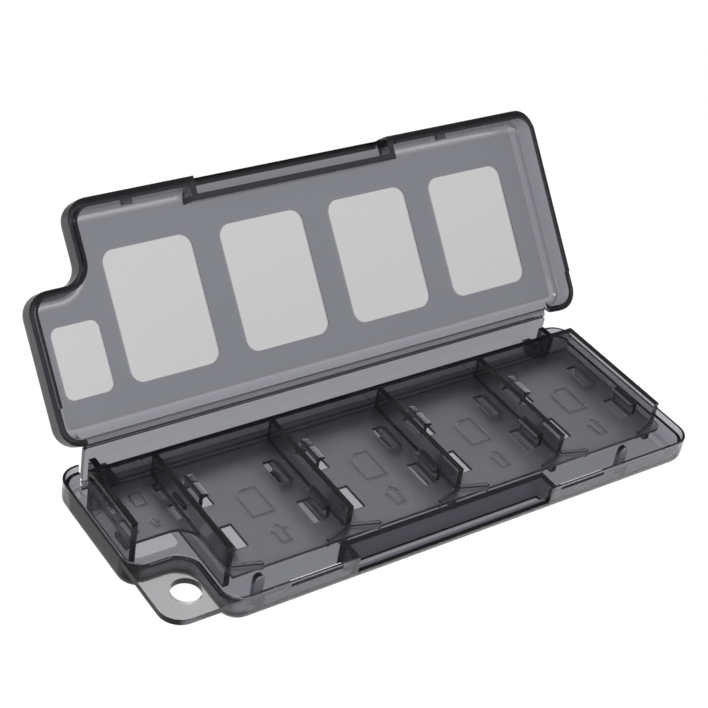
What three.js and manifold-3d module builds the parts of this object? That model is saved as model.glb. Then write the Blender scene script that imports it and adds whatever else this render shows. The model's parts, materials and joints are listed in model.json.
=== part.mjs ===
// Game card case: a three-leaf book moulding with a two-faced card tray inside.
// Millimetres, +Z up. The base lies on Z = 0 with its middle at X = 0, Y = 0.
// The lid is modelled open and leaning back, as it stands in use.
import * as THREE from "three";
import { mergeVertices } from "three/addons/utils/BufferGeometryUtils.js";
import Module from "manifold-3d";

const wasm = await Module();
wasm.setup();

// Whole case when closed
const caseWidth = 144.4;
const caseDepth = 51.7;
const caseHeight = 14.2;
const baseRim = 7.35;
const wall = 1.5;
const panel = 1.2;
const gap = 0.3;
const cornerRound = 5;
const edgeRound = 3;
const insideRound = 3;
const lidOverhang = 0.7;
const lidOpen = 130.2;

// Corner notch, with a lanyard tab on the base
const notchWidth = 13.9;
const notchDepth = 17.1;
const notchRound = 4.5;
const tabInset = 0.2;
const tabSetBack = 0.2;
const tabDrop = 0.3;
const tabThick = 1.5;
const tabRound = 5;
const tabHole = 3.4;
const tabHoleX = 8.1;
const tabHoleY = 7.7;

// Hinge side
const hingeReach = 0.8;
const hingeRise = 0.3;
const hingeRidge = 1.6;
const hingeBevel = 0.4;
const filmThick = 0.4;
const cornerSetBack = 0.45;
const spineFromLeft = 6.6;
const spineFromRight = 7;
const spineRound = 0.8;
const spineSlot = 1;
const hingeStrip = 8;

// Thumb recess and snaps in the front wall
const recessLength = 53.4;
const recessCentre = 0.65;
const recessDepth = 4.2;
const recessLip = 2;
const lipOuter = 0.6;
const lipInner = 0.9;
const lipHeight = 1.4;
const lipStop = 9;
const snapStart = 30.4;
const snapEnd = 43.4;
const snapTall = 0.9;
const beadTall = 0.4;
const beadOut = 0.15;
const ribLong = 2.4;
const ribOut = 1.2;
const ribTall = 1.2;
const guideAt = 50.4;
const guideWide = 2.3;
const guideThick = 1.2;
const guideTop = 10.4;

// Windows over the cards
const pitch = 30;
const pockets = 4;
const windowWide = 22.6;
const windowLong = 30.2;
const windowRound = 3;
const windowFromLeft = 21.8;
const windowFromHinge = 9.7;
const windowSink = 0.25;
const chipWide = 11.7;
const chipLong = 16.2;
const chipRound = 2;
const chipFromLeft = 5.65;

// Card tray
const trayWall = 1.5;
const trayFloor = 0.8;
const trayClear = 0.4;
const dividerFromLeft = 18.4;
const bayWide = 12.9;
const bayLong = 17.65;
const bayFillet = 5;
const trayBackFromHinge = 7.75;
const pocketLong = 35.25;
const dividerSetBack = 3.05;
const trayCorner = 2;

// Spring fingers and the slots below them, measured from the middle of a pocket
const cardFromDivider = 16.15;
const slotNear = 8.25;
const slotWide = 2.9;
const slotLong = 7.6;
const slotFrontEdge = 6.6;
const slotBackEdge = 20.9;
const fingerThick = 1;
const fingerTall = 3.7;
const fingerReach = 2.35;
const fingerSlope = 1.4;
const fingerNose = 0.8;
const fingerFlat = 0.35;
const fingerSet = 0.1;
const fingerShort = 0.3;
const chipSlotWide = 1.6;
const chipSlotLong = 5;
const chipFrontSlot = 2.2;
const chipBackSlot = 9.4;
const chipNib = 1;
const chipNibFlat = 0.3;

// Raised pictures of a card and an arrow, and low ribs at the mouth of each pocket
const markLine = 0.4;
const markTall = 0.2;
const markWide = 5.8;
const markLong = 8.9;
const markCut = 1.7;
const markFromFront = 13.75;
const arrowFromFront = 4.2;
const arrowLong = 6.3;
const arrowWide = 4.6;
const arrowStem = 2.6;
const arrowHead = 2.65;
const mouthRun = 6.6;
const mouthDrop = 2.1;
const mouthWide = 0.8;
const mouthTall = 0.6;

// Corner ears of the tray, and the lugs that hold it on the spine
const earThick = 1.6;
const earLeftInset = 1.6;
const earRightInset = 6.3;
const earOut = 3.4;
const earDrop = 0.3;
const earFoot = 3.3;
const lugInset = 6.1;
const lugThick = 2;
const lugLow = 3.5;
const lugTall = 2;
const lugShoulder = 0.8;

const overlap = 0.4;
const far = 200;
const weld = 1e-4;
const roundSteps = 7;
const edgeSteps = 5;

const halfWidth = caseWidth / 2;
const halfDepth = caseDepth / 2;
const middle = caseHeight / 2;
const lidRim = caseHeight - baseRim - gap;
const hingeZ = panel + hingeRise;
const hingeY = halfDepth - panel / 2;
const baseHingeZ = hingeZ;
const lidHingeZ = caseHeight - hingeZ;
const leafBack = hingeY - hingeReach;
const spineLeft = spineFromLeft - halfWidth;
const spineRight = halfWidth - spineFromRight;
const leafLeft = spineLeft - spineSlot;
const leafRight = spineRight + spineSlot;
const recessLeft = recessCentre - recessLength / 2;
const recessRight = recessCentre + recessLength / 2;
const recessBack = recessDepth - halfDepth;
const insideFront = wall - halfDepth;

const dividerLeft = dividerFromLeft - halfWidth;
const trayRight = dividerLeft + pockets * pitch + trayWall;
const trayLeft = dividerLeft - bayWide - trayWall;
const trayInside = hingeY - trayBackFromHinge - trayWall;
const trayBack = trayInside + trayWall;
const trayFront = trayInside - pocketLong;
const bayFront = trayInside - bayLong;
const trayLow = panel + trayClear;
const trayHigh = caseHeight - trayLow;
const floorTop = middle + trayFloor / 2;
const floorLow = middle - trayFloor / 2;
const spineInside = halfDepth - panel;
const lugPlaces = [trayLeft + lugInset, trayRight - lugInset - lugThick];

const rad = THREE.MathUtils.degToRad;

// Points on an arc, angles in degrees
function arc(x, y, radius, from, to, steps = roundSteps) {
  const points = [];
  for (let i = 0; i <= steps; i += 1) {
    const angle = rad(from + ((to - from) * i) / steps);
    points.push(new THREE.Vector2(x + radius * Math.cos(angle), y + radius * Math.sin(angle)));
  }
  return points;
}

function roundedRect(x0, x1, y0, y1, r) {
  return [
    ...arc(x1 - r, y0 + r, r, -90, 0),
    ...arc(x1 - r, y1 - r, r, 0, 90),
    ...arc(x0 + r, y1 - r, r, 90, 180),
    ...arc(x0 + r, y0 + r, r, 180, 270),
  ];
}

// Outline of a leaf seen from above the base, moved inwards by an inset. An overhang moves its front out
function outline(inset, overhang = 0) {
  const w = halfWidth - inset;
  const front = halfDepth + overhang - inset;
  const back = halfDepth - cornerSetBack - inset;
  const r = cornerRound - inset;
  const notchX = notchWidth - halfWidth + inset;
  const notchY = notchDepth - halfDepth + inset;
  const notchR = notchRound + inset;
  return [
    ...arc(w - r, r - front, r, -90, 0),
    ...arc(w - r, back - r, r, 0, 90),
    ...arc(r - w, back - r, r, 90, 180),
    ...arc(r - w, notchY + r, r, 180, 270),
    ...arc(notchX - notchR, notchY - notchR, notchR, 90, 0),
    ...arc(notchX + r, r - front, r, 180, 270),
  ];
}

function flipped(points) {
  return points.map((p) => new THREE.Vector2(p.x, -p.y)).reverse();
}

// Moves every side of an outline inwards by the same amount
function shrunk(points, by) {
  return points.map((p, i) => {
    const before = points[(i + points.length - 1) % points.length];
    const after = points[(i + 1) % points.length];
    const a = p.clone().sub(before).normalize();
    const b = after.clone().sub(p).normalize();
    const side = new THREE.Vector2(-a.y - b.y, a.x + b.x).normalize();
    const reach = by / side.dot(new THREE.Vector2(-a.y, a.x));
    return p.clone().addScaledVector(side, reach);
  });
}

function solid(geometry) {
  geometry.deleteAttribute("normal");
  geometry.deleteAttribute("uv");
  const merged = mergeVertices(geometry, weld);
  return new wasm.Manifold(new wasm.Mesh({
    numProp: 3,
    vertProperties: new Float32Array(merged.attributes.position.array),
    triVerts: new Uint32Array(merged.index.array),
  }));
}

function box(x0, x1, y0, y1, z0, z1) {
  const size = [x1 - x0, y1 - y0, z1 - z0].map(Math.abs);
  const geometry = new THREE.BoxGeometry(...size);
  geometry.translate((x0 + x1) / 2, (y0 + y1) / 2, (z0 + z1) / 2);
  return solid(geometry);
}

function extruded(points, depth, holes = []) {
  const shape = new THREE.Shape(points);
  for (const hole of holes) {
    shape.holes.push(new THREE.Path(hole));
  }
  return new THREE.ExtrudeGeometry(shape, { depth, bevelEnabled: false });
}

// Outline in X and Y, standing from z0 to z1
function prism(points, z0, z1, holes = []) {
  return solid(extruded(points, z1 - z0, holes).translate(0, 0, z0));
}

// Outline in Y and Z, running from x0 to x1
function across(points, x0, x1, holes = []) {
  const turn = new THREE.Matrix4().makeBasis(
    new THREE.Vector3(0, 1, 0),
    new THREE.Vector3(0, 0, 1),
    new THREE.Vector3(1, 0, 0),
  );
  return solid(extruded(points, x1 - x0, holes).applyMatrix4(turn).translate(x0, 0, 0));
}

// Outline in X and Z, running from y0 to y1
function through(points, y0, y1) {
  return solid(extruded(points, y1 - y0).rotateX(Math.PI / 2).translate(0, y1, 0));
}

// Dish body with a rounded lower edge, cut off flat at z1
function dish(points, z0, z1, round) {
  const geometry = new THREE.ExtrudeGeometry(new THREE.Shape(points), {
    depth: z1 - z0,
    bevelEnabled: true,
    bevelThickness: round,
    bevelSize: round,
    bevelOffset: -round,
    bevelSegments: edgeSteps,
  });
  geometry.translate(0, 0, z0 + round);
  return solid(geometry).subtract(box(-far, far, -far, far, z1, z1 + far));
}

function joined(first, ...others) {
  return others.reduce((sum, next) => sum.add(next), first);
}

function cut(body, ...tools) {
  return tools.reduce((rest, tool) => rest.subtract(tool), body);
}

// Places of the five windows in a leaf
const windowBack = hingeY - windowFromHinge;
const windowPlans = [];
for (let k = 0; k < pockets; k += 1) {
  const x = windowFromLeft - halfWidth + k * pitch;
  windowPlans.push(roundedRect(x, x + windowWide, windowBack - windowLong, windowBack, windowRound));
}
const chipX = chipFromLeft - halfWidth;
windowPlans.push(roundedRect(chipX, chipX + chipWide, windowBack - chipLong, windowBack, chipRound));

// Front wall beside and behind the thumb recess
function recessWalls(side, overhang = 0, clear = 0) {
  const front = -side * (halfDepth + overhang);
  const back = side * (recessBack - overhang + wall);
  return box(recessLeft - wall - clear, recessRight + wall + clear, front, back, 0, far);
}

// One leaf lying on its outer face. Side is 1 for the base and -1 for the lid
function leaf(side, rim, lip, thumbWalls, overhang = 0) {
  const plan = (points) => (side > 0 ? points : flipped(points));
  const stripFront = leafBack - hingeStrip;
  const ridgeTop = hingeZ + filmThick / 2;
  const edge = [
    [stripFront, 0],
    [leafBack - hingeBevel, 0],
    [leafBack, hingeZ - filmThick / 2],
    [leafBack, ridgeTop],
    [leafBack - hingeRidge, ridgeTop],
    [leafBack - 2 * hingeRidge, panel],
    [stripFront, panel],
  ].map(([y, z]) => new THREE.Vector2(side * y, z));
  const strip = across(side > 0 ? edge : edge.reverse(), leafLeft, leafRight);
  const hollow = dish(plan(outline(wall)), panel, rim + overlap, insideRound);
  const body = cut(
    dish(plan(outline(0, overhang)), 0, rim, edgeRound),
    hollow.subtract(thumbWalls),
    box(recessLeft, recessRight, -side * far, side * (recessBack - overhang), lip, far),
    box(leafLeft, leafRight, side * stripFront, side * far, -overlap, far),
  );
  return cut(body.add(strip), ...windowPlans.map((points) => prism(plan(points), panel - windowSink, far)));
}

function mirrored(make) {
  return [make(-1), make(1)];
}

// Base leaf with rebate, snap slots, guide tongues and lanyard tab
function baseShell() {
  const rebateFloor = baseRim - lipHeight - gap / 2;
  const rebate = prism(outline(lipOuter), rebateFloor, far).subtract(recessWalls(1));
  const snapLow = rebateFloor + gap / 2;
  const slots = mirrored((s) => box(
    s * snapStart, s * snapEnd, -far, lipOuter + gap - halfDepth, snapLow, snapLow + snapTall,
  ));
  const guides = mirrored((s) => {
    const x0 = s * guideAt - guideWide / 2;
    const x1 = x0 + guideWide;
    const radius = guideWide / 2;
    const tongue = [
      new THREE.Vector2(x0, panel),
      new THREE.Vector2(x1, panel),
      ...arc(x0 + radius, guideTop - radius, radius, 0, 180),
    ];
    const front = insideFront + gap;
    const foot = box(x0, x1, insideFront - overlap, front + overlap, insideRound, rebateFloor - gap);
    return through(tongue, front, front + guideThick).add(foot);
  });
  const tabLeft = tabInset - halfWidth;
  const tabRight = notchWidth + cornerRound - halfWidth;
  const tabFront = tabSetBack - halfDepth;
  const tabBack = notchDepth + cornerRound - halfDepth;
  const tabTop = baseRim - tabDrop;
  const tabPlan = [
    new THREE.Vector2(tabRight, tabFront),
    new THREE.Vector2(tabRight, tabBack),
    new THREE.Vector2(tabLeft, tabBack),
    ...arc(tabLeft + tabRound, tabFront + tabRound, tabRound, 180, 270),
  ];
  const hole = arc(tabHoleX - halfWidth, tabHoleY - halfDepth, tabHole, 360, 0, 4 * roundSteps).slice(1);
  const behindWall = prism(outline(lipOuter / 2), 0, far);
  const tab = prism(tabPlan, tabTop - tabThick, tabTop, [hole]).subtract(behindWall);
  const gutter = box(recessLeft, recessRight, -far, recessBack, 0, far);
  const thumbWalls = recessWalls(1).subtract(gutter);
  const shell = cut(leaf(1, baseRim, edgeRound, thumbWalls), rebate, ...slots);
  return joined(shell, tab, ...guides);
}

// Lid leaf with inner lip, snap beads and a rib at the end of each bead, still lying on its outer face
function lidShell() {
  const lipTop = lidRim + lipHeight;
  const hollow = flipped(outline(wall));
  const ring = prism(flipped(outline(lipInner)), lidRim - overlap, lipTop, [hollow]);
  const lip = cut(
    ring,
    recessWalls(-1, lidOverhang, gap),
    box(-far, far, lipStop - hingeY, -far, 0, far),
  );
  const front = halfDepth - lipInner;
  const beadLow = lipTop - beadTall - gap / 2;
  const beads = mirrored((s) => box(
    s * (snapStart + gap), s * (snapEnd - gap),
    front - overlap, front + beadOut, beadLow, beadLow + beadTall,
  ));
  const ribFront = halfDepth - wall;
  const ribs = mirrored((s) => box(
    s * (snapEnd - ribLong / 2), s * (snapEnd + ribLong / 2),
    ribFront - ribOut, ribFront + overlap, lidRim - ribTall, lidRim,
  ));
  const thumbWalls = recessWalls(-1, lidOverhang);
  return joined(leaf(-1, lidRim, recessLip, thumbWalls, lidOverhang), lip, ...beads, ...ribs);
}

// Spine strip with a slot for each lug of the tray
function spineStrip() {
  const plan = roundedRect(
    spineLeft, spineRight, baseHingeZ + hingeReach, lidHingeZ - hingeReach, spineRound,
  );
  const slots = lugPlaces.map((x) => box(
    x - gap, x + lugThick + gap,
    spineInside - overlap, halfDepth + overlap, lugLow - gap, lugLow + lugTall + gap,
  ));
  return cut(through(plan, spineInside, halfDepth), ...slots);
}

// Curved strip between two leaves. It bends round a centre, with angles in degrees
function film(y, z, radius, from, to) {
  const trim = Math.sign(to - from) * THREE.MathUtils.radToDeg(gap / radius);
  const outer = arc(y, z, radius + filmThick / 2, from + trim, to - trim);
  const inner = arc(y, z, radius - filmThick / 2, to - trim, from + trim);
  const points = [...outer, ...inner];
  return across(to > from ? points : points.reverse(), spineLeft, spineRight);
}

// Finger profile: u runs towards the card and v away from the tray floor
function fingerAt(x, towards, y0, y1, up, profile) {
  const points = profile.map(([u, v]) => new THREE.Vector2(
    x + towards * u,
    up > 0 ? floorTop + v : floorLow - v,
  ));
  const turned = towards * up > 0 ? points : points.reverse();
  return through(turned, y0, y1);
}

// Raised line round an outline, on both faces of the tray floor
function mark(points) {
  const ring = (z0, z1) => prism(points, z0, z1, [shrunk(points, markLine).reverse()]);
  return ring(floorTop - overlap / 2, floorTop + markTall)
    .add(ring(floorLow - markTall, floorLow + overlap / 2));
}

function cardPicture(x, y, scale) {
  const side = (scale * markWide) / 2;
  const back = y + scale * markLong;
  const corner = scale * markCut;
  return [
    new THREE.Vector2(x - side, y),
    new THREE.Vector2(x + side, y),
    new THREE.Vector2(x + side, back),
    new THREE.Vector2(x - side + corner, back),
    new THREE.Vector2(x - side, back - corner),
  ];
}

function arrowPicture(x, y, scale) {
  const side = (scale * arrowWide) / 2;
  const stem = (scale * arrowStem) / 2;
  const tip = y + scale * arrowLong;
  const head = tip - scale * arrowHead;
  return [
    new THREE.Vector2(x - stem, y),
    new THREE.Vector2(x + stem, y),
    new THREE.Vector2(x + stem, head),
    new THREE.Vector2(x + side, head),
    new THREE.Vector2(x, tip),
    new THREE.Vector2(x - side, head),
    new THREE.Vector2(x - stem, head),
  ];
}

// Low slanting rib from the front end of a divider to the front edge of the tray
function mouthRib(x, towards) {
  const y = trayFront + dividerSetBack;
  const points = [
    new THREE.Vector2(x, y),
    new THREE.Vector2(x, y - mouthWide),
    new THREE.Vector2(x + towards * mouthRun, y - mouthDrop - mouthWide),
    new THREE.Vector2(x + towards * mouthRun, y - mouthDrop),
  ];
  const turned = towards > 0 ? points : points.reverse();
  return prism(turned, floorLow - mouthTall, floorTop + mouthTall);
}

function cardTray() {
  const x0 = dividerLeft;
  const floorPlan = [
    new THREE.Vector2(x0, trayFront),
    ...arc(trayRight - trayCorner, trayFront + trayCorner, trayCorner, -90, 0),
    new THREE.Vector2(trayRight, trayBack),
    new THREE.Vector2(trayLeft, trayBack),
    new THREE.Vector2(trayLeft, bayFront),
    ...arc(x0 - bayFillet, bayFront - bayFillet, bayFillet, 90, 0),
  ];
  const dividerFront = trayFront + dividerSetBack;
  const walls = [
    box(trayLeft, trayRight, trayInside, trayBack, trayLow, trayHigh),
    box(trayLeft, trayLeft + trayWall, bayFront, trayBack, trayLow, trayHigh),
  ];
  for (let k = 0; k <= pockets; k += 1) {
    const x = x0 + k * pitch;
    walls.push(box(x, x + trayWall, dividerFront, trayBack, trayLow, trayHigh));
  }

  const slots = [];
  const extras = [];
  const springProfile = [
    [-fingerThick, -overlap],
    [0, -overlap],
    [0, fingerTall - fingerSlope],
    [fingerReach - fingerThick, fingerTall - fingerNose],
    [fingerReach - fingerThick, fingerTall - fingerNose + fingerFlat],
    [0, fingerTall],
    [-fingerThick, fingerTall],
  ];
  const spring = (x, towards, front, up) => {
    const near = x - towards * slotNear;
    const outer = near - towards * slotWide;
    slots.push(box(near, outer, front, front + slotLong, floorLow - overlap, floorTop + overlap));
    const root = outer - towards * fingerSet;
    const y0 = front + fingerShort;
    extras.push(fingerAt(root, towards, y0, front + slotLong - fingerShort, up, springProfile));
  };
  for (let k = 0; k < pockets; k += 1) {
    const x = x0 + k * pitch;
    const centre = x + cardFromDivider;
    const frontSlot = trayFront + slotFrontEdge;
    const backSlot = trayFront + slotBackEdge;
    spring(centre, 1, frontSlot, -1);
    spring(centre, 1, backSlot, 1);
    spring(centre, -1, frontSlot, 1);
    spring(centre, -1, backSlot, -1);
    extras.push(
      mark(cardPicture(centre, trayFront + markFromFront, 1)),
      mark(arrowPicture(centre, trayFront + arrowFromFront, 1)),
      mouthRib(x + trayWall - overlap, 1),
      mouthRib(x + pitch + overlap, -1),
    );
  }

  const nibProfile = [
    [-overlap, fingerTall - 2 * chipNib],
    [chipNib, fingerTall - chipNib],
    [chipNib, fingerTall - chipNib + chipNibFlat],
    [-overlap, fingerTall],
  ];
  const nib = (x, towards, front, up) => {
    const reach = x + towards * (chipSlotWide + gap);
    const back = front + chipSlotLong;
    slots.push(box(x + towards * gap, reach, front, back, floorLow - overlap, floorTop + overlap));
    extras.push(fingerAt(x, towards, front, back, up, nibProfile));
  };
  const bayLeft = trayLeft + trayWall;
  nib(bayLeft, 1, bayFront + chipFrontSlot, -1);
  nib(bayLeft, 1, bayFront + chipBackSlot, 1);
  nib(x0, -1, bayFront + chipFrontSlot, 1);
  nib(x0, -1, bayFront + chipBackSlot, -1);
  const bayCentre = bayLeft + bayWide / 2;
  const small = chipWide / windowWide;
  extras.push(
    mark(cardPicture(bayCentre, bayFront + chipBackSlot, small)),
    mark(arrowPicture(bayCentre, bayFront + chipFrontSlot, small)),
  );

  const root = trayBack - overlap;
  const ear = [
    new THREE.Vector2(root, middle - earFoot),
    new THREE.Vector2(trayBack + earOut, middle),
    new THREE.Vector2(trayBack + earOut, trayHigh - earDrop),
    new THREE.Vector2(root, trayHigh - earDrop),
  ];
  const shoulder = spineInside - gap;
  const lugTop = lugLow + lugTall;
  const lug = [
    new THREE.Vector2(root, lugLow - lugShoulder),
    new THREE.Vector2(shoulder, lugLow - lugShoulder),
    new THREE.Vector2(shoulder, lugLow),
    new THREE.Vector2(halfDepth, lugLow),
    new THREE.Vector2(halfDepth, lugTop),
    new THREE.Vector2(shoulder, lugTop),
    new THREE.Vector2(shoulder, lugTop + lugShoulder),
    new THREE.Vector2(root, lugTop + lugShoulder),
  ];
  const leftEar = trayLeft + earLeftInset;
  const rightEar = trayRight - earRightInset - earThick;
  extras.push(
    across(ear, leftEar, leftEar + earThick),
    across(ear, rightEar, rightEar + earThick),
    ...lugPlaces.map((x) => across(lug, x, x + lugThick)),
  );
  const floor = cut(prism(floorPlan, floorLow, floorTop), ...slots);
  return joined(floor, ...walls, ...extras);
}

function meshOf(name, body, look) {
  const data = body.getMesh();
  const geometry = new THREE.BufferGeometry();
  geometry.setAttribute("position", new THREE.BufferAttribute(data.vertProperties, data.numProp));
  geometry.setIndex(new THREE.BufferAttribute(data.triVerts, 1));
  const flat = geometry.toNonIndexed();
  flat.computeVertexNormals();
  const mesh = new THREE.Mesh(flat, new THREE.MeshStandardMaterial(look));
  mesh.name = name;
  return mesh;
}

const shellLook = { color: 0x6f7074, roughness: 0.4, metalness: 0 };
const trayLook = { color: 0x4a4b4f, roughness: 0.25, metalness: 0 };
const filmLook = { color: 0x3a3a3d, roughness: 0.3, metalness: 0 };

const baseBend = hingeReach;
const lidTurn = 180 - lidOpen;
const lidBend = hingeReach / Math.tan(rad((90 - lidTurn) / 2));

const lid = meshOf("lid_shell", lidShell(), shellLook);
lid.geometry.translate(0, hingeY, -hingeZ);
lid.geometry.rotateX(rad(lidTurn));
lid.geometry.translate(0, hingeY, lidHingeZ);

const part = new THREE.Group();
part.name = "game_card_case";
part.add(
  meshOf("base_shell", baseShell(), shellLook),
  meshOf("base_film", film(leafBack, baseHingeZ + baseBend, baseBend, -90, 0), filmLook),
  meshOf("spine_strip", spineStrip(), shellLook),
  meshOf("lid_film", film(hingeY + lidBend, lidHingeZ - hingeReach, lidBend, 180, 90 + lidTurn), filmLook),
  lid,
  meshOf("card_tray", cardTray(), trayLook),
);

export default part;
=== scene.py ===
# %% [markdown]
# Game card case in smoky see-through plastic.
# The case opens like a book: a base leaf, a spine strip and a lid leaf hang together on two film
# hinges. A tray with card pockets on both faces is held by the spine and tips up with it. The
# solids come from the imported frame, in metres. This lesson gives them rounded edges, bends the
# hinges and mixes a plastic that light can pass through.

# %% Load the frame
import json
import math

import bmesh
import bpy
from mathutils import Matrix, Vector


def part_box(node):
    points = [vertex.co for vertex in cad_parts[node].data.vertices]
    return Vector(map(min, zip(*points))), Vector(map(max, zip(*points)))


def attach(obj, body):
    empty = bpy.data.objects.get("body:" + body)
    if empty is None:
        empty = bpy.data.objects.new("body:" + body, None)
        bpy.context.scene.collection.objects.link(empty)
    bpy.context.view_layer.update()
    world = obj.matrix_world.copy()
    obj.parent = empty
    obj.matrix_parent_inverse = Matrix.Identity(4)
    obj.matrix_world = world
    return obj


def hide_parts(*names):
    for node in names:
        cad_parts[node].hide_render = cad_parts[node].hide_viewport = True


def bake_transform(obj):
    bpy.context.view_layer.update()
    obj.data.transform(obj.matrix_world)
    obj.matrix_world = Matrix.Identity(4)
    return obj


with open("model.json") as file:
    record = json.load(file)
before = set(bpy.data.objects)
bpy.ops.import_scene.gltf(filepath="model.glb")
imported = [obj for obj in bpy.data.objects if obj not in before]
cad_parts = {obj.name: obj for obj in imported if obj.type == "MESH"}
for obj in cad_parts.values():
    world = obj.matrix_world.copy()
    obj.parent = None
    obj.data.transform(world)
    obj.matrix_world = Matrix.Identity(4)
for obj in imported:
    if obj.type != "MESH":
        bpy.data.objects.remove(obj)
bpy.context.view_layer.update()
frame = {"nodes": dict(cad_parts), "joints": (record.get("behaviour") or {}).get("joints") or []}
joints = {joint["name"]: joint for joint in frame["joints"]}

# %% [markdown]
# The camera. The photograph looks down on the open case from its front left corner, through a
# fairly long lens and with a slight roll. A camera can be aimed with a constraint, but a roll is
# easier to give as three directions: right, up and back. They are the columns of its matrix.

# %% Camera
SENSOR = 36.0
LENS = 86.5
NEAREST = 0.01
camera_right = Vector((0.8201, -0.5534, 0.1454)).normalized()
camera_forward = Vector((0.5239, 0.6240, -0.5798)).normalized()
camera_up = camera_right.cross(camera_forward).normalized()
camera_place = Vector((-0.20583, -0.22575, 0.25018))

camera_data = bpy.data.cameras.new("photo_camera")
camera_data.sensor_width = SENSOR
camera_data.lens = LENS
camera_data.clip_start = NEAREST
camera = bpy.data.objects.new("photo_camera", camera_data)
bpy.context.scene.collection.objects.link(camera)
turn = Matrix((camera_right, camera_up, -camera_forward)).transposed().to_4x4()
camera.matrix_world = Matrix.Translation(camera_place) @ turn
bpy.context.scene.camera = camera
print("camera stands", round(camera_place.length, 3), "m from the origin")

# %% [markdown]
# Shader sums. A node tree gets hard to read when every sum is three lines of links, so one small
# class wraps a node's output. Adding or multiplying two of them adds a Math node, and one method
# makes any other node from its type, its settings and the values of its sockets. Three more
# methods draw soft steps, because a mask with a hard edge looks cut out with a knife.


# %% A wire between shader nodes
class Wire:
    """One output of a shader node that takes part in Python sums."""

    def __init__(self, tree, socket=None):
        self.tree = tree
        self.socket = socket

    def node(self, kind, settings=None, sockets=None, out=0):
        made = self.tree.nodes.new("ShaderNode" + kind)
        for name, value in (settings or {}).items():
            setattr(made, name, value)
        for key, value in (sockets or {}).items():
            if isinstance(value, Wire):
                self.tree.links.new(value.socket, made.inputs[key])
            else:
                made.inputs[key].default_value = value
        return Wire(self.tree, made.outputs[out] if made.outputs else None)

    def math(self, operation, *values):
        return self.node("Math", {"operation": operation}, dict(enumerate(values)))

    def __add__(self, other):
        return self.math("ADD", self, other)

    __radd__ = __add__

    def __sub__(self, other):
        return self.math("SUBTRACT", self, other)

    def __rsub__(self, other):
        return self.math("SUBTRACT", other, self)

    def __mul__(self, other):
        return self.math("MULTIPLY", self, other)

    __rmul__ = __mul__

    def __pow__(self, other):
        return self.math("POWER", self, other)

    def __abs__(self):
        return self.math("ABSOLUTE", self)

    def at_least(self, low):
        return self.math("MAXIMUM", self, low)

    def at_most(self, high):
        return self.math("MINIMUM", self, high)

    def fade(self, low, high):
        """0 below low, 1 above high and smooth between them."""
        return self.node("MapRange", {"interpolation_type": "SMOOTHSTEP"},
                         {"Value": self, "From Min": low, "From Max": high})

    def beyond(self, edge, soft):
        """0 up to an edge, and 1 once it is passed by a soft width."""
        return self.fade(edge, edge + soft)

    def until(self, edge, soft):
        """1 up to an edge, and 0 once it is passed by a soft width."""
        return 1 - self.fade(edge, edge + soft)

    def between(self, first, second):
        """A colour from first to second as the wire goes from 0 to 1."""
        return self.node("Mix", {"data_type": "RGBA"}, {0: self, 6: first, 7: second}, out=2)


def along(vector, axis):
    """One of the three numbers of a vector."""
    return vector.node("SeparateXYZ", sockets={"Vector": vector}, out=axis)


def connect(shader, wires):
    for name, wire in wires.items():
        wire.tree.links.new(wire.socket, shader.inputs[name])


print("shader sums ready")

# %% [markdown]
# Light table. See-through things are photographed on a table that glows, because the light then
# comes through them and no shadow falls. A white floor under lamps would lie in the shade of the
# case, and the plastic would look darker than it is. So the floor is mostly glow, with a little
# plain grey so that the lamp still counts. In front of the case it glows more, because the front
# wall is seen lit in the photograph.

# %% Light table
FLOOR_SIZE = 3.0
FLOOR_DROP = 0.0001
FLOOR_GREY = (0.12, 0.12, 0.12, 1)
TABLE_GLOW = (0.97, 0.97, 0.97, 1)
FRONT_GLOW = (3.3, 3.3, 3.3, 1)
FRONT_EDGE = (-0.045, -0.02)

floor_bm = bmesh.new()
bmesh.ops.create_grid(floor_bm, x_segments=1, y_segments=1, size=FLOOR_SIZE)
bmesh.ops.translate(floor_bm, verts=floor_bm.verts, vec=(0, 0, -FLOOR_DROP))
floor_mesh = bpy.data.meshes.new("light_table")
floor_bm.to_mesh(floor_mesh)
floor_bm.free()
floor = bpy.data.objects.new("light_table", floor_mesh)
bpy.context.scene.collection.objects.link(floor)

glow = bpy.data.materials.new("table_glow")
glow.use_nodes = True
table_shader = glow.node_tree.nodes["Principled BSDF"]
table_shader.inputs["Base Color"].default_value = FLOOR_GREY
table_shader.inputs["Roughness"].default_value = 1.0
table_shader.inputs["Specular IOR Level"].default_value = 0.0
table_shader.inputs["Emission Strength"].default_value = 1.0
table_place = Wire(glow.node_tree).node("TexCoord", out="Object")
table_light = along(table_place, "Y").fade(*FRONT_EDGE).between(FRONT_GLOW, TABLE_GLOW)
connect(table_shader, {"Emission Color": table_light})
floor_mesh.materials.append(glow)
print("light table", FLOOR_SIZE * 2, "m wide")

# %% [markdown]
# Sky. A plain white sky would be mirrored in every glossy face and wash the dark edges out. So it
# is bright near the horizon and dim above, and the level faces mirror little of it. The standard
# view keeps white at white, as in a catalogue picture.

# %% Sky
HORIZON = (1, 1, 1, 1)
OVERHEAD = (0.2, 0.2, 0.21, 1)
SKY_FADE = (0.12, 0.55)

sky = bpy.data.worlds.new("studio")
sky.use_nodes = True
sky.node_tree.nodes.clear()
direction = Wire(sky.node_tree).node("TexCoord", out="Generated")
sky_colour = along(direction, "Z").fade(*SKY_FADE).between(HORIZON, OVERHEAD)
backdrop = sky_colour.node("Background", sockets={"Color": sky_colour, "Strength": 1.0})
backdrop.node("OutputWorld", sockets={"Surface": backdrop})
bpy.context.scene.world = sky
bpy.context.scene.view_settings.view_transform = "Standard"
print("sky fades between heights", SKY_FADE)

# %% [markdown]
# Lamp. One large soft box above the front left draws long highlights on the rounded edges. It
# stands away from the direction in which the level floors would mirror it into the camera.

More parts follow.
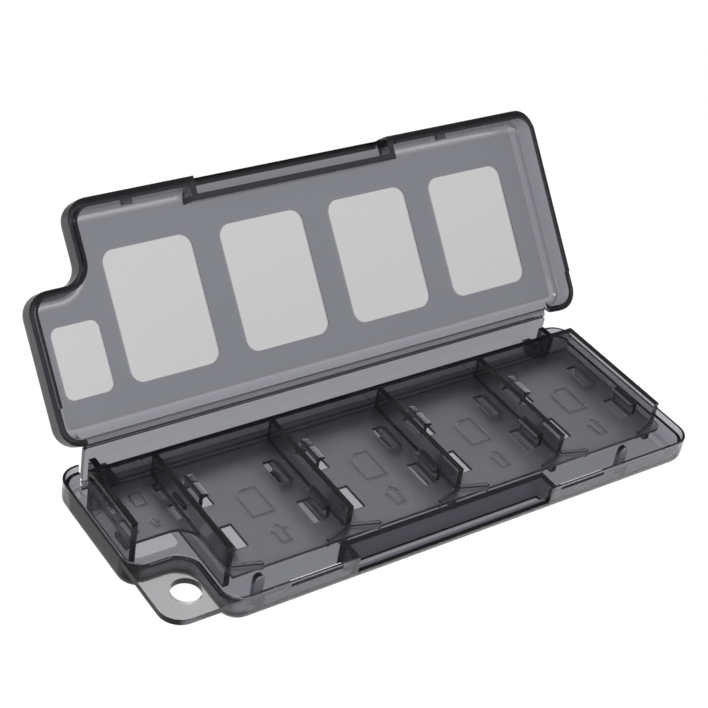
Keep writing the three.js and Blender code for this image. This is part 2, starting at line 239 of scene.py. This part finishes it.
# %% Soft box
LAMP_PLACE = Vector((-0.35, -0.15, 0.55))
LAMP_AIM = Vector((0, 0, 0.01))
LAMP_SIZE = (0.35, 0.25)
LAMP_WATTS = 2.2

light = bpy.data.lights.new("key_box", "AREA")
light.shape = "RECTANGLE"
light.size, light.size_y = LAMP_SIZE
light.energy = LAMP_WATTS
lamp = bpy.data.objects.new("key_box", light)
bpy.context.scene.collection.objects.link(lamp)
lamp.location = LAMP_PLACE
lamp.rotation_mode = "QUATERNION"
lamp.rotation_quaternion = (LAMP_AIM - LAMP_PLACE).to_track_quat("-Z", "Y")
print("soft box", round((LAMP_AIM - LAMP_PLACE).length, 2), "m from the case")

# %% [markdown]
# The smoky plastic. Light that enters it is dimmed the further it goes, so a thin floor looks
# pale grey and a wall seen along its height looks black. A see-through surface with a dark colour
# would not do that, because it is as dark on a thin wall as on a thick one. So the grey comes from
# one constant absorption inside the solid, and a small share of plain diffuse light keeps the
# darkest walls from going quite black.

# %% Plastic
SMOKE_TINT = (0.5, 0.505, 0.535, 1)
PLASTIC_IOR = 1.49


def smoke(name, density, see_through):
    """A see-through plastic with constant absorption. Returns its material, a wire and its shader."""
    material = bpy.data.materials.new(name)
    material.use_nodes = True
    tree = material.node_tree
    shader = tree.nodes["Principled BSDF"]
    shader.inputs["Transmission Weight"].default_value = see_through
    shader.inputs["IOR"].default_value = PLASTIC_IOR
    body = tree.nodes.new("ShaderNodeVolumeAbsorption")
    body.inputs["Color"].default_value = SMOKE_TINT
    body.inputs["Density"].default_value = density
    tree.links.new(body.outputs[0], tree.nodes["Material Output"].inputs["Volume"])
    return material, Wire(tree), shader


print("smoke tint", SMOKE_TINT[:3])

# %% [markdown]
# One drawing for both leaves. The lid mirrors the base, so one set of masks in millimetres serves
# both, drawn on the shut case: X along it, Y from front to back, and depth inwards from the outer
# face of the leaf. A second set for the lid would have to be kept in step by hand. The lid stands
# open, so a Mapping node first turns its points and directions shut about the hinge.

# %% Place on a shut leaf
MM = 1000.0
CASE_HEIGHT = 14.2
lid_axis = Vector(joints["lid_fold"]["pos_m"]) * MM
lid_open = -math.radians(joints["lid_fold"]["range_deg"][0])


def leaf_frame(wire, closed_turn):
    """A point on the shut leaf: its place, its X, Y and depth, and the direction it faces."""
    turned = (closed_turn, 0, 0)
    shut_axis = Matrix.Rotation(closed_turn, 3, "X") @ lid_axis
    place = wire.node("Mapping", sockets={
        "Vector": wire.node("TexCoord", out="Object"), "Scale": (MM, MM, MM),
        "Rotation": turned, "Location": lid_axis - shut_axis})
    facing = wire.node("Mapping", {"vector_type": "VECTOR"}, {
        "Vector": wire.node("TexCoord", out="Normal"), "Rotation": turned})
    height = along(place, "Z")
    depth = CASE_HEIGHT - height if closed_turn else height
    point = (along(place, "X"), along(place, "Y"), depth)
    return place, point, [along(facing, axis) for axis in "XYZ"]


print("lid stands open by", round(math.degrees(lid_open), 1), "degrees")

# %% [markdown]
# Windows, panel and hinge strip. On the flat inside of each leaf the plastic is finely frosted,
# and five windows over the cards are left polished. They could be cut out as pieces of their own,
# but the real ones are one moulding with the leaf, so a mask tells them apart: how far a point
# lies outside a rectangle with round corners. The raised strip along the hinge is polished too,
# and its paler tint is a painted sheen, for the light that its fillet catches.

# %% Masks on the inside
PITCH = 30.0
POCKETS = 4
WINDOW = (22.6, 30.2, 3.0)
SMALL_WINDOW = (11.7, 16.2, 2.0)
WINDOW_LEFT = -50.4
SMALL_LEFT = -66.55
WINDOW_BACK = 15.55
WINDOW_EDGE = 0.06
OUTER_SKIN = 0.5
PANEL_TOP = 1.25
STRIP_TOP = 1.75
STRIP_FRONT = 16.5


def window_mask(x, y, size):
    wide, long, corner = size
    aside = (abs(x) - (wide / 2 - corner)).at_least(0)
    ahead = (abs(y) - (long / 2 - corner)).at_least(0)
    outside = (aside * aside + ahead * ahead) ** 0.5 - corner
    return 1 - outside.fade(-WINDOW_EDGE, WINDOW_EDGE)


def leaf_windows(x, y):
    from_first = x - (WINDOW_LEFT + WINDOW[0] / 2)
    step = from_first * (1 / PITCH)
    nearest = step.math("ROUND", step).at_least(0).at_most(POCKETS - 1)
    large = window_mask(from_first - nearest * PITCH, y - (WINDOW_BACK - WINDOW[1] / 2), WINDOW)
    small = window_mask(x - (SMALL_LEFT + SMALL_WINDOW[0] / 2),
                        y - (WINDOW_BACK - SMALL_WINDOW[1] / 2), SMALL_WINDOW)
    return large.at_least(small)


def inside_masks(x, y, depth):
    """Polished windows, frosted panel and hinge strip of a leaf."""
    thin = depth.until(PANEL_TOP, soft=0.15)
    windows = leaf_windows(x, y) * thin
    inside = depth.beyond(OUTER_SKIN, soft=0.2) * (1 - windows)
    strip = inside * depth.until(STRIP_TOP, soft=0.1) * y.beyond(STRIP_FRONT, soft=1)
    return windows, inside * thin, strip


print("masks for", POCKETS, "windows at a pitch of", PITCH, "mm and one small window")

# %% [markdown]
# Painted light and shade on the outer walls. In the photograph the left walls are nearly black,
# the front of the base is lit, and the notch at the front left corner is paler. The room that they
# mirror is not seen. A lamp for each wall would be mirrored in the windows as well, so each wall
# gets a painted tint of its own, found by the direction that a point faces and by its place: a
# nearly black painted shade on the left walls, a white painted light on the front and the notch of
# the base, and a dark painted shade on the front of the lid. The level faces of the lanyard tab in
# the notch get a pale painted light, and the lip of the thumb recess in the lid a dark painted
# shade, for the band that light trapped in the solid lip leaves dark.

# %% Painted light and shade on the outer walls
NOTCH_RIGHT = -58.3
NOTCH_BACK = -8.75
NOTCH_WALL_RIGHT = -54.0
NOTCH_WALL_BACK = -6.5
TAB_LOW = 5.2
TAB_TOP = 7.1
RECESS_CENTRE = 0.65
RECESS_HALF = 26.7
TURNED = 0.2
LEVEL = 0.3
LEANING = 0.5


# Painted shade: the left walls that face outwards get a nearly black tint.
def painted_left_shade(x, y, depth, facing, right, back, top):
    outward = (0 - facing[0]).beyond(TURNED, soft=0.3)
    return outward * x.until(right, soft=2) * y.until(back, soft=3) * depth.until(top, soft=0.1)


# Painted light and shade: front walls get a tint of their own, white painted light on the base and
# dark painted shade on the lid.
def painted_front_tone(y, facing, back):
    return (0 - facing[1]).beyond(TURNED, soft=0.3) * y.until(back, soft=0.5)


# The upright walls of the front left notch take the same painted tint as the front.
def painted_notch_tone(x, y, facing):
    upright = abs(facing[2]).until(LEANING, soft=0.4)
    return upright * x.until(NOTCH_WALL_RIGHT, soft=1) * y.until(NOTCH_WALL_BACK, soft=0.5)


# Painted light: the level faces of the lanyard tab get a pale tint, where the glowing table shows
# through.
def painted_tab_light(x, y, depth, facing):
    in_notch = x.until(NOTCH_RIGHT - 0.2, soft=0.2) * y.until(NOTCH_BACK - 0.25, soft=0.25)
    in_plate = depth.beyond(TAB_LOW, soft=0.2) * depth.until(TAB_TOP, soft=0.1)
    return in_notch * in_plate * abs(facing[2]).beyond(LEVEL, soft=0.3)


# Painted shade: a dark band along the lip of the thumb recess, for the dark that light trapped in the
# solid lip gives.
def painted_lip_shade(x, y, back):
    in_recess = abs(x - RECESS_CENTRE).until(RECESS_HALF - 0.1, soft=0.2)
    return in_recess * y.until(back - 0.1, soft=0.2)


print("recess lip", 2 * RECESS_HALF, "mm long")

# %% [markdown]
# Leaf plastic. The masks are laid over each other like coats, the wall's own tint first. Some coats
# are painted light and shade: the pale tab, the front, white on the base and dark on the lid, the
# nearly black left walls, the paler strip and the dark lip. Painting each face with a material of
# its own would need sharp seams between them. The frosted panel is rough and has a fine grain in
# its bump, and a slow cloud varies its colour, as cooling does in a thin moulding. The lid has no
# tab, so that coat finds nothing there.

# %% Plastic of the leaves
LEAF_DENSITY = 960.0
LEAF_CLEAR = 0.975
WALL_TINT = (0.58, 0.585, 0.61, 1)
# Painted light: the pale tint of the tab's level faces.
TAB_LIGHT_TINT = (0.97, 0.965, 0.94, 1)
# Painted shade: the nearly black tint of the left walls.
LEFT_SHADE_TINT = (0.02, 0.02, 0.021, 1)
# Painted sheen: a paler tint on the polished strip along the hinge, for the light its fillet catches.
STRIP_SHEEN_TINT = (0.8, 0.805, 0.83, 1)
# Painted shade: the dark tint of the recess lip.
LIP_SHADE_TINT = (0.06, 0.06, 0.062, 1)
CLOUD = {"Scale": 0.06, "Detail": 3.0}
CLOUD_LIFT = 1.06
GRAIN = {"Scale": 3.0, "Detail": 2.0}
GRAIN_BUMP = {"Strength": 0.25, "Distance": 0.00004}
WALL_ROUGH = 0.05
FROST_ROUGH = 0.3
LEFT_ROUGH = 0.35
FRONT_ROUGH = 0.2
CLOUD_ROUGH = 0.03


def leaf_plastic(name, frost, window, front_painted_tone, mirrored, front_back, left_shade_reach, lip_shade_back=None,
                 closed_turn=0):
    """Plastic of a leaf, with painted light and shade on its walls. Three arguments say, in
    millimetres, how far the painted front tint, the painted left shade and the painted lip shade
    reach.
    """
    material, wire, shader = smoke(name, LEAF_DENSITY, LEAF_CLEAR)
    shader.inputs["Specular Tint"].default_value = mirrored
    place, (x, y, depth), facing = leaf_frame(wire, closed_turn)
    windows, panel, strip = inside_masks(x, y, depth)
    # Masks of painted tints: painted shade on the left walls, and on the front white painted light for
    # the base and dark painted shade for the lid.
    left = painted_left_shade(x, y, depth, facing, **left_shade_reach)
    ahead = painted_front_tone(y, facing, front_back)
    cloud = wire.node("TexNoise", sockets={"Vector": place, **CLOUD})
    grain = wire.node("TexNoise", sockets={"Vector": place, **GRAIN})
    pale = [min(1, channel * CLOUD_LIFT) for channel in frost]
    coats = [
        (windows, window),
        (painted_tab_light(x, y, depth, facing), TAB_LIGHT_TINT),
        (ahead.at_least(painted_notch_tone(x, y, facing)), front_painted_tone),
        (left, LEFT_SHADE_TINT),
        (strip, STRIP_SHEEN_TINT),
        (panel, cloud.between(frost, pale)),
    ]
    # Painted shade on the lip of the thumb recess, in the lid only.
    if lip_shade_back is not None:
        coats.append((painted_lip_shade(x, y, lip_shade_back), LIP_SHADE_TINT))
    colour = WALL_TINT
    for mask, tint in coats:
        colour = mask.between(colour, tint)
    rough = WALL_ROUGH + panel * FROST_ROUGH + left * LEFT_ROUGH + ahead * FRONT_ROUGH
    rough = rough + cloud * CLOUD_ROUGH
    bump = wire.node("Bump", sockets={"Height": grain * panel, **GRAIN_BUMP})
    connect(shader, {"Base Color": colour, "Roughness": rough, "Normal": bump})
    return material


# Base: white painted light on its front and notch. Lid: dark painted shade on its front, and painted
# shade on the lip of its recess.
base_smoke = leaf_plastic(
    "base_smoke", frost=(0.37, 0.375, 0.395, 1), window=(0.69, 0.69, 0.7, 1), front_painted_tone=(1, 1, 1, 1),
    mirrored=(0.1, 0.1, 0.1, 1), front_back=-23.5, left_shade_reach={"right": -68.0, "back": 17.0, "top": 7.5})
lid_smoke = leaf_plastic(
    "lid_smoke", frost=(0.29, 0.295, 0.315, 1), window=(0.97, 0.965, 0.94, 1),
    front_painted_tone=(0.09, 0.09, 0.093, 1), mirrored=(1, 1, 1, 1), front_back=-20.5,
    left_shade_reach={"right": -57.0, "back": 40.0, "top": 6.45}, lip_shade_back=-24.6, closed_turn=lid_open)
print("leaf plastics", base_smoke.name, lid_smoke.name)

# %% [markdown]
# Polished plastic. The tray, the spine and the films come out of a polished mould. A faint flow
# from the gate of the mould varies their colour and gloss, and a slow swirl bends what they
# mirror. A plastic without them would look like a drawing of glass. The tray's floor has a satin
# finish, so that its pockets look even, and its back wall gets a painted shade, darker where the
# spine behind it shades it.

# %% Plastic of the tray, the spine and the films
FLOW = {"Scale": 90.0, "Detail": 3.0}
FLOW_TINTS = ((0.97, 0.97, 0.98, 1), (1, 1, 1, 1))
FLOW_ROUGH = 0.06
POLISH = 0.03
SWIRL = {"Scale": 260.0, "Detail": 2.0}
SWIRL_BUMP = {"Strength": 0.1, "Distance": 0.00005}
SATIN_ROUGH = 0.35
SATIN_EDGE = 0.1
# Painted shade: the darker tint of the tray's back wall.
BACK_SHADE_TINT = (0.55, 0.555, 0.58, 1)
BACK_EDGE = 0.3


def polished_plastic(name, density, see_through, satin=None, back_shade_start=None):
    """Polished plastic. In millimetres, satin gives two heights, and the last argument where the
    painted shade of the back wall starts.
    """
    material, wire, shader = smoke(name, density, see_through)
    place = wire.node("TexCoord", out="Object")
    flow = wire.node("TexNoise", sockets={"Vector": place, **FLOW})
    swirl = wire.node("TexNoise", sockets={"Vector": place, **SWIRL})
    colour = flow.between(*FLOW_TINTS)
    rough = POLISH + flow * FLOW_ROUGH
    if satin:
        height = along(place, "Z") * MM
        matt = height.fade(satin[0] - SATIN_EDGE, satin[0]) * height.until(satin[1], SATIN_EDGE)
        rough = rough + matt * SATIN_ROUGH
    # Painted shade: the back wall of the tray is tinted darker, where the spine behind it shades it.
    if back_shade_start:
        back_shade = (along(place, "Y") * MM).fade(back_shade_start - BACK_EDGE, back_shade_start)
        colour = back_shade.between(colour, BACK_SHADE_TINT)
    bump = wire.node("Bump", sockets={"Height": swirl, **SWIRL_BUMP})
    connect(shader, {"Base Color": colour, "Roughness": rough, "Normal": bump})
    return material


tray_smoke = polished_plastic("tray_smoke", density=1130.0, see_through=0.985, satin=(6.6, 7.55),
                              back_shade_start=15.9)
spine_smoke = polished_plastic("spine_smoke", density=1600.0, see_through=0.98)
film_smoke = polished_plastic("film_smoke", density=9000.0, see_through=0.96)
print("polished plastics", tray_smoke.name, spine_smoke.name, film_smoke.name)

# %% [markdown]
# The mouldings. Each leaf and the tray is a copy of its solid. The solid arrives as loose
# triangles, so the copy is merged, its flat triangles are dissolved into whole faces, and its
# sharp edges are rounded a little, as the corners of a mould leave them. Without that rounding a
# plastic edge catches no light. A Bevel modifier would do it too, but the operator lets the
# shortest edges be left out, where a rounding would fold over itself.

# %% Pieces from a bmesh
SHARP = math.radians(38)


def shaded_piece(bm, name, material):
    """A piece with smooth faces that keeps its sharp edges."""
    loose = sum(1 for edge in bm.edges if not edge.is_manifold)
    mesh = bpy.data.meshes.new(name)
    bm.to_mesh(mesh)
    bm.free()
    mesh.shade_smooth()
    mesh.set_sharp_from_angle(angle=SHARP)
    mesh.materials.append(material)
    piece = bpy.data.objects.new(name, mesh)
    bpy.context.scene.collection.objects.link(piece)
    print(name, len(mesh.polygons), "faces,", loose, "open edges")
    return piece


print("edges above", round(math.degrees(SHARP)), "degrees count as sharp")

# %% Rounded copies of the solids
WELD = 2e-6
FLAT = math.radians(1.0)
LEAF_ROUNDING = 0.00015
SPINE_ROUNDING = 0.0002
TRAY_ROUNDING = 0.00008


def moulding(node, name, body, rounding, material):
    bm = bmesh.new()
    bm.from_mesh(frame["nodes"][node].data)
    bmesh.ops.remove_doubles(bm, verts=bm.verts, dist=WELD)
    bmesh.ops.dissolve_limit(bm, angle_limit=FLAT, verts=bm.verts, edges=bm.edges)
    edges = [e for e in bm.edges if e.is_manifold and e.calc_face_angle() > SHARP
             and e.calc_length() > 2 * rounding]
    print(name, "has", len(edges), "edges to round by", rounding * MM, "mm")
    bmesh.ops.bevel(bm, geom=edges, offset=rounding, offset_type="OFFSET", segments=2,
                    profile=0.5, affect="EDGES", material=-1, clamp_overlap=True)
    piece = shaded_piece(bm, name, material)
    normals = piece.modifiers.new("flat_faces", "WEIGHTED_NORMAL")
    normals.keep_sharp = True
    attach(piece, body)
    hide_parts(node)


moulding("base_shell", "base_leaf", "base", LEAF_ROUNDING, base_smoke)
moulding("lid_shell", "lid_leaf", "lid", LEAF_ROUNDING, lid_smoke)
moulding("spine_strip", "spine_leaf", "spine", SPINE_ROUNDING, spine_smoke)
moulding("card_tray", "card_page", "spine", TRAY_ROUNDING, tray_smoke)

# %% [markdown]
# The film hinges. Each is a thin web of the same plastic, bent between a leaf and the spine. A
# row of points spun about the middle of the bend gives the curved sheet, and solidify gives it
# its thickness. The web is made in place on the open case and is attached to no body.

# %% Curved web
FILM_THICK = 0.0004
FILM_ROWS = 8
FILM_CUTS = 30


def curved_web(left, right, pivot, start, sweep):
    """A sheet along X, spun through an angle from its first point, with its thickness inwards."""
    outer = start + (start - pivot).normalized() * FILM_THICK / 2
    bm = bmesh.new()
    ends = [bm.verts.new((x, outer.y, outer.z)) for x in (left, right)]
    line = bm.edges.new(ends)
    bmesh.ops.subdivide_edges(bm, edges=[line], cuts=FILM_CUTS)
    bmesh.ops.spin(bm, geom=bm.verts[:] + bm.edges[:], cent=pivot, axis=(1, 0, 0),
                   angle=sweep, steps=FILM_ROWS)
    bmesh.ops.remove_doubles(bm, verts=bm.verts, dist=WELD)
    bm.normal_update()
    turned = [f for f in bm.faces
              if f.normal.dot(Vector((0, *(f.calc_center_median() - pivot).yz))) < 0]
    bmesh.ops.reverse_faces(bm, faces=turned)
    bmesh.ops.solidify(bm, geom=bm.faces[:], thickness=FILM_THICK)
    bmesh.ops.recalc_face_normals(bm, faces=bm.faces)
    return bm


print("webs are", FILM_THICK * MM, "mm thick, in", FILM_ROWS, "rows")

# %% Film hinges
HINGE_REACH = 0.0008


def film_hinge(name, node, centre, first, sweep):
    """A web between two bodies. Its centre and its first point are given in Y and Z."""
    low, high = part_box(node)
    pivot = Vector((0, *centre))
    start = Vector((0, *first))
    piece = shaded_piece(curved_web(low[0], high[0], pivot, start, sweep), name, film_smoke)
    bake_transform(piece)
    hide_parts(node)
    radii = [(v.co - pivot).yz.length * MM for v in piece.data.vertices]
    print(name, "radius", round(min(radii), 2), "to", round(max(radii), 2), "mm")


base_axis = Vector(joints["spine_fold"]["pos_m"])
top_axis = Vector(joints["lid_fold"]["pos_m"])
quarter = math.radians(90)
film_hinge("base_web", "base_film",
           (base_axis.y - HINGE_REACH, base_axis.z + HINGE_REACH),
           (base_axis.y - HINGE_REACH, base_axis.z), quarter)
lid_bend = lid_open - quarter
lid_radius = HINGE_REACH / math.tan(lid_bend / 2)
film_hinge("lid_web", "lid_film",
           (top_axis.y + lid_radius, top_axis.z - HINGE_REACH),
           (top_axis.y, top_axis.z - HINGE_REACH), -lid_bend)
